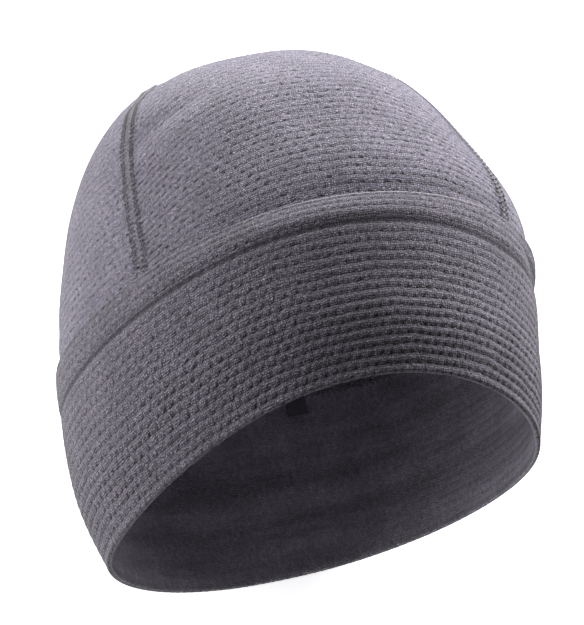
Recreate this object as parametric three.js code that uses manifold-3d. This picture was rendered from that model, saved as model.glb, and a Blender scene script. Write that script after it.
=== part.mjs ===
// A knit skull cap with a deep folded band, lying on its back where it was put down.
// Millimetres. +X is the wearer's left, +Y runs from the rim to the crown, +Z is the forehead side.
// Z = 0 is the surface the cap lies on, and the origin is under the middle of its box.

import * as THREE from "three";
import { mergeVertices } from "three/addons/utils/BufferGeometryUtils.js";
import Module from "manifold-3d";

// Cloth sizes
const KNIT = 1.2; // one layer of mesh knit
const GAP = 0.3; // between sewn pieces
const FOLD_WALL = 2.8; // the band's two layers where it folds over at the rim
const BAND_TOP = 66; // length along the band from the rim to its top edge
const LIP = 1.0; // depth of the slot's outer face under the band's top edge
const SLOT_DEPTH = 5; // how far the crown's lower edge is tucked into the band
const INNER_TOP = 65.3; // the band's inner layer ends here
const SINK_LENGTH = 10; // above the band the crown swells back to its full width in this length

// How the cap lies: its soft back is pressed flat at this distance below its axis
const REST_DEPTH = 86;
const REST_SOFT = 6;

// The middle of the cap's box, measured from the middle of the rim
const CENTER_X = 0.4;
const CENTER_Y = 77.1;

// Fineness of the faceted solids
const AROUND_STEPS = 64;
const CROWN_STEPS = 16;
const FOLD_STEPS = 4;
const SEAM_STEP = 4;
const NORMAL_STEP = 0.5;
const TURN_STEP = 0.008; // radians

const LABEL = { width: 7.5, length: 6.5, thick: 0.8, corner: 0.8, middle: 15.5, top: 64.5 };

const COLOURS = { crown: 0x8f8b98, band: 0x6e6b74, label: 0x151417 };

// One row for each level of the cap, from the rim to the top.
// up: height; half: half the width; front, back: reach to the forehead and to the nape;
// square: roundness of the oval (2 is an ellipse); lean, tilt: how the soft form leans sideways;
// arch: how much higher the level is over the forehead; seam: half the width of the centre panel.
const LEVELS = [
  { up: 0, half: 73, front: 91.5, back: 83.5, square: 2.0, lean: -4.5, tilt: 1, arch: 15.5, seam: 62 },
  { up: 27, half: 78.5, front: 96, back: 93, square: 2.0, lean: -3.5, tilt: 0, arch: 13.5, seam: 62 },
  { up: 53.8, half: 80, front: 96, back: 97, square: 2.0, lean: 0, tilt: -1.5, arch: 12.5, seam: 62 },
  { up: 65.5, half: 80.5, front: 92.5, back: 97.5, square: 2.0, lean: 2, tilt: -1.5, arch: 9, seam: 61.5 },
  { up: 82, half: 78.5, front: 90, back: 96, square: 2.0, lean: 3.5, tilt: -1, arch: 6, seam: 60.5 },
  { up: 101, half: 71.5, front: 83, back: 90, square: 2.1, lean: 2, tilt: -1, arch: 4.5, seam: 56.5 },
  { up: 119, half: 63.5, front: 74.5, back: 80, square: 2.15, lean: 0.5, tilt: -0.5, arch: 3, seam: 51 },
  { up: 135, half: 52.5, front: 59.5, back: 64, square: 2.25, lean: -1, tilt: 0, arch: 1.5, seam: 43 },
  { up: 147.5, half: 37, front: 42, back: 44, square: 2.3, lean: -2, tilt: 0, arch: 0.5, seam: 31.5 },
  { up: 153, half: 17.5, front: 21, back: 21, square: 2.3, lean: -2.5, tilt: 0, arch: 0, seam: 29.5 },
  { up: 155, half: 0, front: 0, back: 0, square: 2.3, lean: -2.5, tilt: 0, arch: 0, seam: 29.5 },
];

// The band's outer face: how far it stands out, from the rim fold over the groove and the roll.
const BAND_FACE = [
  { along: 1.4, out: 0 },
  { along: 8, out: 0.3 },
  { along: 16, out: 0.5 },
  { along: 24, out: 0.5 },
  { along: 32, out: 0.6 },
  { along: 40, out: 0.8 },
  { along: 47, out: 1.0 },
  { along: 51, out: 0.9 },
  { along: 52.8, out: 0.4 },
  { along: 54.3, out: -0.3 },
  { along: 55.6, out: 0.4 },
  { along: 57.4, out: 1.4 },
  { along: 59.8, out: 1.8 },
  { along: 62.6, out: 1.5 },
  { along: 64.9, out: 0.7 },
  { along: 66, out: 0 },
];

// The band's inner face, from its top edge down to the rim fold.
const BAND_LINING = [
  { along: 65.3, depth: 4.2 },
  { along: 61, depth: 4.2 },
  { along: 55.5, depth: 3.4 },
  { along: 47, depth: 2.2 },
  { along: 32, depth: 2.2 },
  { along: 16, depth: 2.4 },
  { along: 1.4, depth: 2.8 },
];

// Soft dents: where each lies (length along the cap, degrees round from the forehead), how far its
// line turns from level, its half length and half width, and how deep it is.
const DENTS = [
  { name: "groove_pocket", along: 56, around: 74, turn: -12, length: 24, width: 4.5, depth: 2.4 },
  { name: "shoulder_crease", along: 124, around: -40, turn: 22, length: 24, width: 5, depth: 1.3 },
  { name: "left_seam_pull", along: 156, around: -49, turn: 60, length: 16, width: 4, depth: 0.8 },
  { name: "right_seam_pull", along: 140, around: 62, turn: -30, length: 14, width: 7, depth: 1.1 },
  { name: "top_hollow", along: 158, around: -20, turn: 0, length: 22, width: 9, depth: 1.0 },
];

// Lengths along the profile from the rim up to each level
const PATH = LEVELS.reduce((path, level, i) => {
  if (i === 0) return [0];
  const before = LEVELS[i - 1];
  const step = Math.hypot(level.up - before.up, level.half - before.half);
  return [...path, path[i - 1] + step];
}, []);
const TOP = PATH[PATH.length - 1];

// Slopes of a smooth curve through a column that never overshoots it
function slopes(xs, ys) {
  const rise = xs.slice(1).map((x, i) => (ys[i + 1] - ys[i]) / (x - xs[i]));
  const inner = rise.slice(1).map((after, i) => {
    const before = rise[i];
    if (before * after <= 0) return 0;
    const left = xs[i + 1] - xs[i];
    const right = xs[i + 2] - xs[i + 1];
    const wide = 2 * right + left;
    const near = right + 2 * left;
    return (wide + near) / (wide / before + near / after);
  });
  return [rise[0], ...inner, rise[rise.length - 1]];
}

function smoothColumn(xs, ys) {
  const slope = slopes(xs, ys);
  return (x) => {
    const at = Math.min(Math.max(x, xs[0]), xs[xs.length - 1]);
    let i = 0;
    while (i < xs.length - 2 && at > xs[i + 1]) i += 1;
    const h = xs[i + 1] - xs[i];
    const t = (at - xs[i]) / h;
    const t2 = t * t;
    const t3 = t2 * t;
    return (
      (2 * t3 - 3 * t2 + 1) * ys[i] +
      (t3 - 2 * t2 + t) * h * slope[i] +
      (3 * t2 - 2 * t3) * ys[i + 1] +
      (t3 - t2) * h * slope[i + 1]
    );
  };
}

function columnOf(rows, across, name) {
  return smoothColumn(across, rows.map((row) => row[name]));
}

const COLUMNS = ["up", "half", "front", "back", "square", "lean", "tilt", "arch"];
const level = Object.fromEntries(COLUMNS.map((name) => [name, columnOf(LEVELS, PATH, name)]));
const HEIGHTS = LEVELS.map((row) => row.up);
const leanAt = columnOf(LEVELS, HEIGHTS, "lean");
const seamAt = columnOf(LEVELS, HEIGHTS, "seam");
const liningRows = [...BAND_LINING].reverse();
const liningDepth = columnOf(liningRows, liningRows.map((row) => row.along), "depth");
const bandOut = columnOf(BAND_FACE, BAND_FACE.map((row) => row.along), "out");

// The plain form under the relief: a leaning oval at each length along the profile
function form(along, around) {
  const s = Math.sin(around);
  const c = Math.cos(around);
  const square = level.square(along);
  const k = (Math.abs(s) ** square + Math.abs(c) ** square) ** (-1 / square);
  const reach = c > 0 ? level.front(along) : level.back(along);
  const forward = Math.max(c, 0);
  return new THREE.Vector3(
    level.lean(along) + level.half(along) * s * k,
    level.up(along) + level.tilt(along) * s * k + level.arch(along) * forward * forward,
    reach * c * k,
  );
}

function outward(along, around) {
  const low = Math.min(along, TOP - 2 * NORMAL_STEP);
  const rising = form(low + NORMAL_STEP, around).sub(form(low - NORMAL_STEP, around));
  const turning = form(low, around + TURN_STEP).sub(form(low, around - TURN_STEP));
  return turning.cross(rising).normalize();
}

// How deep the dents are at a place on the cap
function dentAt(along, around) {
  return DENTS.reduce((sum, dent) => {
    const middle = THREE.MathUtils.degToRad(dent.around);
    const across = Math.atan2(Math.sin(around - middle), Math.cos(around - middle));
    const sideways = across * level.half(dent.along);
    const rise = along - dent.along;
    const turn = THREE.MathUtils.degToRad(dent.turn);
    const u = (sideways * Math.cos(turn) + rise * Math.sin(turn)) / dent.length;
    const v = (rise * Math.cos(turn) - sideways * Math.sin(turn)) / dent.width;
    return sum + dent.depth * Math.exp(-u * u - v * v);
  }, 0);
}

function bandRelief(along) {
  return along < BAND_TOP ? bandOut(along) : 0;
}

// The surface the cap lies on presses each layer flat at its own depth
function pressed(z, under) {
  const floor = -REST_DEPTH + Math.max(under, 0);
  const above = z - floor;
  if (above >= REST_SOFT) return z;
  if (above <= -REST_SOFT) return floor;
  return floor + (above + REST_SOFT) ** 2 / (4 * REST_SOFT);
}

// A point of the cloth at a depth under the plain form
function cloth(along, around, depth) {
  const dent = dentAt(along, around);
  const point = form(along, around).addScaledVector(outward(along, around), -depth - dent);
  point.z = pressed(point.z, depth + bandRelief(along));
  return point;
}

// Just above the band the crown starts behind the band's top edge
function crownDepth(along) {
  const t = THREE.MathUtils.clamp((along - BAND_TOP) / SINK_LENGTH, 0, 1);
  return (LIP + GAP) * (1 - t * t * (3 - 2 * t));
}

function meshFrom(positions, faces) {
  const geometry = new THREE.BufferGeometry();
  geometry.setAttribute("position", new THREE.Float32BufferAttribute(positions, 3));
  geometry.setIndex(faces);
  return geometry;
}

// Joins rings of equal count into a tube; a wrapped tube closes on its first ring
function ringFaces(rings, count, wrapped) {
  const faces = [];
  const last = wrapped ? rings : rings - 1;
  for (let r = 0; r < last; r += 1) {
    const low = r * count;
    const high = ((r + 1) % rings) * count;
    for (let i = 0; i < count; i += 1) {
      const j = (i + 1) % count;
      faces.push(low + i, low + j, high + j, low + i, high + j, high + i);
    }
  }
  return faces;
}

function angles() {
  return Array.from({ length: AROUND_STEPS }, (_, i) => (2 * Math.PI * i) / AROUND_STEPS);
}

// The band's section: outer face, slot for the crown, lining, and the fold at the rim
function bandSection() {
  const slotFloor = BAND_TOP - SLOT_DEPTH;
  const slotBack = LIP + KNIT + 3 * GAP;
  const face = BAND_FACE.map((row) => ({ along: row.along, depth: -row.out }));
  const slot = [
    { along: BAND_TOP, depth: LIP },
    { along: slotFloor, depth: LIP },
    { along: slotFloor, depth: slotBack },
    { along: INNER_TOP, depth: slotBack },
  ];
  const radius = FOLD_WALL / 2;
  const fold = [];
  for (let i = 1; i < FOLD_STEPS; i += 1) {
    const turn = (Math.PI * i) / FOLD_STEPS;
    fold.push({
      along: radius - radius * Math.sin(turn),
      depth: radius + radius * Math.cos(turn),
    });
  }
  return [...face, ...slot, ...BAND_LINING, ...fold];
}

function bandGeometry() {
  const section = bandSection();
  const positions = [];
  for (const place of section) {
    for (const around of angles()) {
      positions.push(...cloth(place.along, around, place.depth).toArray());
    }
  }
  return meshFrom(positions, ringFaces(section.length, AROUND_STEPS, true));
}

// Lengths along the profile where the crown has a ring: its tucked edge, then even steps
function crownRows() {
  const step = (TOP - BAND_TOP) / CROWN_STEPS;
  const rows = Array.from({ length: CROWN_STEPS }, (_, i) => BAND_TOP + step * i);
  return [BAND_TOP - SLOT_DEPTH + 2 * GAP, ...rows];
}

// The whole crown as one closed wall, before it is parted at the seams
function crownShell() {
  const alongs = crownRows();
  const positions = [];
  const addRings = (lengths, inner) => {
    for (const along of lengths) {
      for (const around of angles()) {
        positions.push(...cloth(along, around, crownDepth(along) + inner).toArray());
      }
    }
  };
  addRings([...alongs].reverse(), KNIT);
  addRings(alongs, 0);
  const faces = ringFaces(2 * alongs.length, AROUND_STEPS, false);
  const innerTop = positions.length / 3;
  const outerTop = innerTop + 1;
  positions.push(...cloth(TOP, 0, KNIT).toArray(), ...cloth(TOP, 0, 0).toArray());
  const lastRing = (2 * alongs.length - 1) * AROUND_STEPS;
  for (let i = 0; i < AROUND_STEPS; i += 1) {
    const j = (i + 1) % AROUND_STEPS;
    faces.push(innerTop, j, i);
    faces.push(outerTop, lastRing + i, lastRing + j);
  }
  return meshFrom(positions, faces);
}

// A tall block that covers one panel, bounded by the seam lines seen from the forehead
function panelBlock(side) {
  const reach = 150;
  const lines = { low: [], high: [] };
  for (let y = BAND_TOP / 2; y <= TOP; y += SEAM_STEP) {
    const left = leanAt(y) - seamAt(y);
    const right = leanAt(y) + seamAt(y);
    const from = { left: -reach, center: left + GAP / 2, right: right + GAP / 2 }[side];
    const to = { left: left - GAP / 2, center: right - GAP / 2, right: reach }[side];
    lines.low.push(new THREE.Vector2(from, y));
    lines.high.push(new THREE.Vector2(to, y));
  }
  const outline = new THREE.Shape([...lines.low, ...lines.high.reverse()]);
  const block = new THREE.ExtrudeGeometry(outline, { depth: 2 * reach, bevelEnabled: false });
  return block.translate(0, 0, -reach);
}

function solidFrom(wasm, geometry) {
  const bare = new THREE.BufferGeometry();
  bare.setAttribute("position", geometry.getAttribute("position"));
  if (geometry.index) bare.setIndex(geometry.index);
  const merged = mergeVertices(bare, 1e-3);
  return new wasm.Manifold(
    new wasm.Mesh({
      numProp: 3,
      vertProperties: new Float32Array(merged.getAttribute("position").array),
      triVerts: new Uint32Array(merged.index.array),
    }),
  );
}

function geometryFrom(solid) {
  const mesh = solid.getMesh();
  return meshFrom(Array.from(mesh.vertProperties), Array.from(mesh.triVerts));
}

// Height of the band's inner face above the floor where the back is pressed flat
function pressedLining(along) {
  return bandRelief(along) + liningDepth(along);
}

// The small tab sewn to the band's top edge inside the middle of the back
function labelGeometry() {
  const { width, length, thick, corner, middle, top } = LABEL;
  const w = width / 2;
  const shape = new THREE.Shape();
  shape.moveTo(-w, 0);
  shape.lineTo(-w, corner - length);
  shape.quadraticCurveTo(-w, -length, corner - w, -length);
  shape.lineTo(w - corner, -length);
  shape.quadraticCurveTo(w, -length, w, corner - length);
  shape.lineTo(w, 0);
  const tab = new THREE.ExtrudeGeometry(shape, { depth: thick, bevelEnabled: false, curveSegments: 4 });
  const lining = Math.max(...[0, length / 2, length].map((down) => pressedLining(top - down)));
  return tab.translate(middle, top, -REST_DEPTH + lining + GAP);
}

function piece(name, geometry, color, roughness) {
  const material = new THREE.MeshStandardMaterial({ color, roughness, metalness: 0 });
  const mesh = new THREE.Mesh(geometry, material);
  mesh.name = name;
  return mesh;
}

const wasm = await Module();
wasm.setup();

const crown = solidFrom(wasm, crownShell());
const panel = (side) => geometryFrom(crown.intersect(solidFrom(wasm, panelBlock(side))));

const cap = new THREE.Group();
cap.add(piece("band", bandGeometry(), COLOURS.band, 0.95));
cap.add(piece("crown_center", panel("center"), COLOURS.crown, 0.95));
cap.add(piece("crown_side_left", panel("right"), COLOURS.crown, 0.95));
cap.add(piece("crown_side_right", panel("left"), COLOURS.crown, 0.95));
cap.add(piece("label", labelGeometry(), COLOURS.label, 0.8));
cap.position.set(-CENTER_X, -CENTER_Y, REST_DEPTH);

export default cap;
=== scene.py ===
import math

import bmesh
import bpy
import numpy as np
from bpy.props import FloatProperty, FloatVectorProperty, PointerProperty
from mathutils import Matrix, Vector
from mathutils.bvhtree import BVHTree


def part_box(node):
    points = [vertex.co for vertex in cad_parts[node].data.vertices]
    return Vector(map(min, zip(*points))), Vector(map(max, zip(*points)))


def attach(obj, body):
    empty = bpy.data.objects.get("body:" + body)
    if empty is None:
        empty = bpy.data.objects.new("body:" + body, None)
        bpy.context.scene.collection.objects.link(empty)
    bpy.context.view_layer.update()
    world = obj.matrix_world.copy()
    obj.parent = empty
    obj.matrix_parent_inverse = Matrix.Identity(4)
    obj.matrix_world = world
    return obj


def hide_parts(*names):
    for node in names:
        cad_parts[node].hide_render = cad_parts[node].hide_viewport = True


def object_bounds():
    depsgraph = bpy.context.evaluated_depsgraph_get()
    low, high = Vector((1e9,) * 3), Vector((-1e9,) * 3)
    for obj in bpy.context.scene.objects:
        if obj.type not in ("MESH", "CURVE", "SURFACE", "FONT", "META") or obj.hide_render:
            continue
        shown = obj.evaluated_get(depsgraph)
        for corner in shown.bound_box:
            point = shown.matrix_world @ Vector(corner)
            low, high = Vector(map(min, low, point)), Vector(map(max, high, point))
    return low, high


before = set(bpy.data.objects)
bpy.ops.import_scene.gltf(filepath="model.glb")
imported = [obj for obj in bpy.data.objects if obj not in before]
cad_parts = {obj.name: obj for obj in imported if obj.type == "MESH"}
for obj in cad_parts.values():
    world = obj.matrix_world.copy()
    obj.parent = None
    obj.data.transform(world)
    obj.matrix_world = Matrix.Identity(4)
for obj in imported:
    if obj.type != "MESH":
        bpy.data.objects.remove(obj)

bl_info = {
    "name": "Knit skull cap",
    "version": (1, 0, 0),
    "blender": (4, 5, 0),
    "location": "View3D > Sidebar > Cap",
    "description": "A mesh-knit skull cap with a folded band, flatlock seams and a plain tab",
    "category": "Add Mesh",
}

CAD_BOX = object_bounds()
BODY = "root"
FLAT_MAP = "Flat cloth, mm"
MM = 0.001

# Cloth sizes, in millimetres, as in the part's source
KNIT = 1.2
GAP = 0.3
BAND_TOP = 66.0
LIP = 1.0
SLOT_DEPTH = 5.0
INNER_TOP = 65.3
SINK_LENGTH = 10.0
REST_DEPTH = 86.0
REST_SOFT = 6.0
CENTER = np.array([-0.4, -77.1, REST_DEPTH])

# Other sizes of the cloth, in millimetres: the fold at the rim, pressed thinner than in the part's
# source, the middle of the crease under the roll and of the groove that it lies in, how far a seam's
# ridge reaches, and the length round the crown after which the knit wanders alike
FOLD_WALL = 2.0
CREASE_UP = 52.6
GROOVE_UP = 52.4
SEAM_REACH = 2.2
CROWN_PERIOD = 330.0

# Steps for slopes on the plain form, in millimetres and in radians
NORMAL_STEP = 0.5
TURN_STEP = 0.008

# The camera fitted to the photograph: its turn, rise and roll against the cap, in radians, how far
# the rim's middle lies from the line of sight, in millimetres, and its sensor and lens
CAMERA_TURN = 0.2545
CAMERA_RISE = 0.3079
CAMERA_ROLL = 0.2504
RIM_RIGHT = 14.8305
RIM_UP = -64.992
SENSOR = 36.0
PICTURE_HEIGHT = 625
FOCAL_PIXELS = 3492.1

# Every lamp is a square softbox: its width, and its distance from the cap's middle, in metres
LAMP_SIZE = 0.6
LAMP_DISTANCE = 0.9

# One row for each level of the cap, from the rim to the top, as in the part's source
LEVEL_COLUMNS = ("up", "half", "front", "back", "square", "lean", "tilt", "arch", "seam")
LEVELS = np.array([
    (0, 73, 91.5, 83.5, 2.0, -4.5, 1, 15.5, 62),
    (27, 78.5, 96, 93, 2.0, -3.5, 0, 13.5, 62),
    (53.8, 80, 96, 97, 2.0, 0, -1.5, 12.5, 62),
    (65.5, 80.5, 92.5, 97.5, 2.0, 2, -1.5, 9, 61.5),
    (82, 78.5, 90, 96, 2.0, 3.5, -1, 6, 60.5),
    (101, 71.5, 83, 90, 2.1, 2, -1, 4.5, 56.5),
    (119, 63.5, 74.5, 80, 2.15, 0.5, -0.5, 3, 51),
    (135, 52.5, 59.5, 64, 2.25, -1, 0, 1.5, 43),
    (147.5, 37, 42, 44, 2.3, -2, 0, 0.5, 31.5),
    (153, 17.5, 21, 21, 2.3, -2.5, 0, 0, 29.5),
    (155, 0, 0, 0, 2.3, -2.5, 0, 0, 29.5),
])

# The band's outer face: length up from the rim, and how far it stands out. The groove under the
# rolled top is drawn a little lower than in the part's source, where the photograph shows it.
BAND_FACE = np.array([
    (1.4, 0), (8, 0.3), (16, 0.5), (24, 0.5), (32, 0.6), (40, 0.8), (46, 0.9), (49.6, 0.9),
    (51.2, 0.85), (51.9, 0.35), (52.3, 0.25), (52.8, 0.6), (53.6, 1.0), (57.6, 1.3), (61, 1.4), (64.6, 1.3),
    (66, 1.2),
])

# The band's inner face: length up from the rim, and how deep it lies. Its fold is pressed a little
# thinner than in the part's source.
BAND_LINING = np.array([
    (1.0, 2.0), (8, 2.2), (32, 2.2), (47, 2.2), (55.5, 3.4), (61, 4.2), (65.3, 4.2),
])

# How strong the knit's relief is on the band: length up from the rim, and its share
KNIT_STRENGTH = np.array([(18, 1.05), (30, 0.8), (44, 0.5), (50, 0.35), (56, 0.5)])

# Soft dents: length along, degrees round, turn of the line, half length, half width, depth
DENTS = {
    "groove_pocket": (56, 74, -12, 24, 4.5, 2.4),
    "shoulder_crease": (124, -40, 22, 24, 5, 1.3),
    "left_seam_pull": (156, -49, 60, 16, 4, 0.8),
    "right_seam_pull": (140, 62, -30, 14, 7, 1.1),
    "top_hollow": (158, -20, 0, 22, 9, 1.0),
}


def srgb(value):
    """Linear colour of an sRGB hex value."""
    channels = [(value >> shift & 255) / 255 for shift in (16, 8, 0)]
    linear = [c / 12.92 if c <= 0.04045 else ((c + 0.055) / 1.055) ** 2.4 for c in channels]
    return tuple(linear)


def smooth_column(xs, ys):
    """A smooth curve through a column that never overshoots it."""
    xs = np.asarray(xs, float)
    ys = np.asarray(ys, float)
    width = np.diff(xs)
    rise = np.diff(ys) / width
    slope = np.zeros(len(xs))
    slope[0] = rise[0]
    slope[-1] = rise[-1]
    for i in range(1, len(xs) - 1):
        if rise[i - 1] * rise[i] > 0:
            wide = 2 * width[i] + width[i - 1]
            near = width[i] + 2 * width[i - 1]
            slope[i] = (wide + near) / (wide / rise[i - 1] + near / rise[i])

    def curve(x):
        at = np.clip(x, xs[0], xs[-1])
        i = np.clip(np.searchsorted(xs, at, side="left") - 1, 0, len(xs) - 2)
        h = width[i]
        t = (at - xs[i]) / h
        return (
            (2 * t**3 - 3 * t**2 + 1) * ys[i]
            + (t**3 - 2 * t**2 + t) * h * slope[i]
            + (3 * t**2 - 2 * t**3) * ys[i + 1]
            + (t**3 - t**2) * h * slope[i + 1]
        )

    return curve


PATH = np.concatenate([[0], np.cumsum(np.hypot(np.diff(LEVELS[:, 0]), np.diff(LEVELS[:, 1])))])
TOP = PATH[-1]
level = {name: smooth_column(PATH, LEVELS[:, i]) for i, name in enumerate(LEVEL_COLUMNS)}
lean_at = smooth_column(LEVELS[:, 0], LEVELS[:, 5])
seam_at = smooth_column(LEVELS[:, 0], LEVELS[:, 8])
band_out = smooth_column(BAND_FACE[:, 0], BAND_FACE[:, 1])
lining_depth = smooth_column(BAND_LINING[:, 0], BAND_LINING[:, 1])


def form(along, around):
    """The plain form under the relief: a leaning oval at each length along the profile."""
    s = np.sin(around)
    c = np.cos(around)
    square = level["square"](along)
    k = (np.abs(s) ** square + np.abs(c) ** square) ** (-1 / square)
    reach = np.where(c > 0, level["front"](along), level["back"](along))
    forward = np.maximum(c, 0)
    x = level["lean"](along) + level["half"](along) * s * k
    y = level["up"](along) + level["tilt"](along) * s * k + level["arch"](along) * forward**2
    return np.stack([x, y, reach * c * k], axis=-1)


def outward(along, around):
    """The plain form's outward normal."""
    low = np.minimum(along, TOP - 2 * NORMAL_STEP)
    rising = form(low + NORMAL_STEP, around) - form(low - NORMAL_STEP, around)
    turning = form(low, around + TURN_STEP) - form(low, around - TURN_STEP)
    normal = np.cross(turning, rising)
    return normal / np.linalg.norm(normal, axis=-1, keepdims=True)


def dent_at(along, around):
    """How deep the dents are at a place on the cap."""
    total = 0
    for at, degrees, turned, length, width, depth in DENTS.values():
        middle = math.radians(degrees)
        across = np.arctan2(np.sin(around - middle), np.cos(around - middle))
        sideways = across * level["half"](at)
        rise = along - at
        turn = math.radians(turned)
        u = (sideways * math.cos(turn) + rise * math.sin(turn)) / length
        v = (rise * math.cos(turn) - sideways * math.sin(turn)) / width
        total = total + depth * np.exp(-u * u - v * v)
    return total


def pressed(z, under):
    """The surface that the cap lies on presses each layer flat at its own depth."""
    floor = -REST_DEPTH + np.maximum(under, 0)
    above = z - floor
    eased = floor + (np.clip(above, -REST_SOFT, REST_SOFT) + REST_SOFT) ** 2 / (4 * REST_SOFT)
    return np.where(above >= REST_SOFT, z, eased)


def cloth(along, around, depth):
    """Points of the cloth at a depth under the plain form, in the cap's own millimetres."""
    along, around, depth = np.broadcast_arrays(along, around, depth)
    inwards = depth + dent_at(along, around)
    points = form(along, around) - outward(along, around) * inwards[..., None]
    relief = np.where(along < BAND_TOP, band_out(along), 0)
    points[..., 2] = pressed(points[..., 2], depth + relief)
    return points


def crown_depth(along):
    """Just above the band the crown starts behind the band's top edge."""
    t = np.clip((along - BAND_TOP) / SINK_LENGTH, 0, 1)
    return (LIP + GAP) * (1 - t * t * (3 - 2 * t))


def to_frame(points):
    """The cap's own millimetres as metres in the shared frame."""
    return (points + CENTER) * MM


def wander(across, up, period, seed):
    """Knit never runs quite straight: the flat cloth's lines moved by some tenths of a millimetre.

    The moves repeat after a period along the courses, so that they meet again round the band.
    """
    draw = np.random.default_rng(seed)
    moved = [across.copy(), up.copy()]
    for waves in (3, 7, 12, 19, 31, 47):
        for axis, size in ((0, 0.9), (1, 0.45)):
            rise = draw.uniform(-1, 1) * waves / period
            phase = draw.uniform(0, 2 * math.pi)
            turn = 2 * math.pi * (waves * across / period + rise * up) + phase
            moved[axis] += size / math.sqrt(waves) * np.sin(turn)
    return moved


def knit_lift(across, up, cell, course, lean, rib_depth, slit_depth):
    """How far the knit lies under its highest threads, in millimetres.

    Courses are swollen ribs. The valleys between them are deepest where the mesh opens, in staggered
    places, and a leaning slit rises from each opening into the rib above it.
    """
    v = up / course
    row = np.floor(v)
    valley = np.rint(v)
    u = across / cell
    own_u = u - 0.5 * np.mod(row, 2)
    x = (own_u - np.rint(own_u)) * cell
    y = (v - row) * course
    opening = 0.5 + 0.5 * np.cos(2 * math.pi * (u - 0.5 * np.mod(valley, 2)))
    rib = np.abs(np.sin(math.pi * v))
    slit = np.exp(-(((x - lean * y) / (0.15 * cell)) ** 2)) * np.clip(1.3 - y / course, 0, 1)
    return -rib_depth * (1 - rib**0.8) * (0.4 + 0.6 * opening) - slit_depth * slit * rib**0.5


def cloth_mesh(name, points, flat, lift):
    """A bmesh grid laid out on rows of points, with its flat map, welded where rows meet."""
    rows, columns = points.shape[0] - 1, points.shape[1] - 1
    bm = bmesh.new()
    bm.loops.layers.uv.new(FLAT_MAP)
    bmesh.ops.create_grid(bm, x_segments=columns, y_segments=rows, size=1.0)
    mesh = bpy.data.meshes.new(name)
    bm.to_mesh(mesh)
    bm.free()
    plain = np.empty(len(mesh.vertices) * 3, np.float32)
    mesh.vertices.foreach_get("co", plain)
    plain = plain.reshape(-1, 3)
    column = np.rint((plain[:, 0] + 1) / 2 * columns).astype(int)
    row = np.rint((plain[:, 1] + 1) / 2 * rows).astype(int)
    placed = to_frame(points)[row, column]
    mesh.vertices.foreach_set("co", placed.astype(np.float32).ravel())
    corner = np.empty(len(mesh.loops), np.int32)
    mesh.loops.foreach_get("vertex_index", corner)
    on_flat = flat[row, column][corner]
    mesh.uv_layers[FLAT_MAP].data.foreach_set("uv", on_flat.astype(np.float32).ravel())
    lifts = mesh.attributes.new("lift", "FLOAT", "POINT")
    lifts.data.foreach_set("value", (lift * MM)[row, column].astype(np.float32).ravel())
    bm = bmesh.new()
    bm.from_mesh(mesh)
    bmesh.ops.remove_doubles(bm, verts=bm.verts, dist=0.01 * MM)
    bmesh.ops.recalc_face_normals(bm, faces=bm.faces)
    bm.normal_update()
    layer = bm.verts.layers.float["lift"]
    moves = [vert.normal * vert[layer] for vert in bm.verts]
    for vert, move in zip(bm.verts, moves):
        vert.co += move
    for face in bm.faces:
        face.smooth = True
    bm.verts.layers.float.remove(layer)
    bm.to_mesh(mesh)
    bm.free()
    return mesh


def add_piece(name, mesh, material, replaces=()):
    """Links a finished mesh as a piece that rides on the cap's one body."""
    old = bpy.data.objects.get(name)
    if old is not None:
        bpy.data.objects.remove(old)
    piece = bpy.data.objects.new(name, mesh)
    bpy.context.scene.collection.objects.link(piece)
    mesh.materials.append(material)
    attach(piece, BODY)
    if replaces:
        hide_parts(*replaces)
    return piece


def run_length(points):
    """Length along a line of points, from its first."""
    steps = np.linalg.norm(np.diff(points, axis=0), axis=1)
    return np.concatenate([[0], np.cumsum(steps)])


def along_line(points, lengths, at):
    """Points at these lengths along a line."""
    return np.stack([np.interp(at, lengths, points[:, i]) for i in range(3)], axis=-1)


# The band

def band_section(sizes):
    """The band's closed section: down the lining, over the fold and up the face to the slot.

    Returns the length along the cap, the depth, the place on the flat cloth (0 at the foot of the
    face, less on the fold and the lining), and the strength of the knit.
    """
    step = sizes.band_course / 4
    radius = FOLD_WALL / 2
    edge_radius = 0.7
    slot_back = LIP + KNIT + 3 * GAP
    slot_floor = BAND_TOP - SLOT_DEPTH
    lining = np.linspace(INNER_TOP - 0.4, 2.6, 28)
    fold_turn = np.radians(np.linspace(172, 8, 7))
    face = np.arange(2 * step, BAND_TOP - 1.0, step)
    edge_turn = np.radians([25, 60, 90, 120, 155])
    edge_up = BAND_TOP - edge_radius + edge_radius * np.sin(edge_turn)
    edge_depth = LIP - (LIP + float(band_out(BAND_TOP))) * (1 + np.cos(edge_turn)) / 2
    parts = (
        (lining, lining_depth(lining), 0.12),
        (radius - radius * np.sin(fold_turn), radius + radius * np.cos(fold_turn)[::-1], 0.2),
        (face, -band_out(face), 1.0),
        (edge_up, edge_depth, 0.0),
        (np.array([BAND_TOP - 2, slot_floor, slot_floor]), np.array([LIP, LIP, slot_back]), 0.0),
        (np.array([slot_floor + 2, INNER_TOP - 0.3]), np.full(2, slot_back), 0.0),
        (np.array([INNER_TOP]), np.array([(slot_back + lining_depth(INNER_TOP)) / 2]), 0.0),
    )
    along = np.concatenate([part[0] for part in parts])
    depth = np.concatenate([part[1] for part in parts])
    strength = np.concatenate([np.full(len(part[0]), part[2]) for part in parts])
    strength *= np.interp(along, KNIT_STRENGTH[:, 0], KNIT_STRENGTH[:, 1])
    strength *= np.clip((BAND_TOP - 1 - along) / 3, 0.2, 1)
    run = np.concatenate([[0], np.cumsum(np.hypot(np.diff(along), np.diff(depth)))])
    foot = len(lining) + len(fold_turn)
    return along, depth, run - run[foot] + face[0], strength


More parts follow.
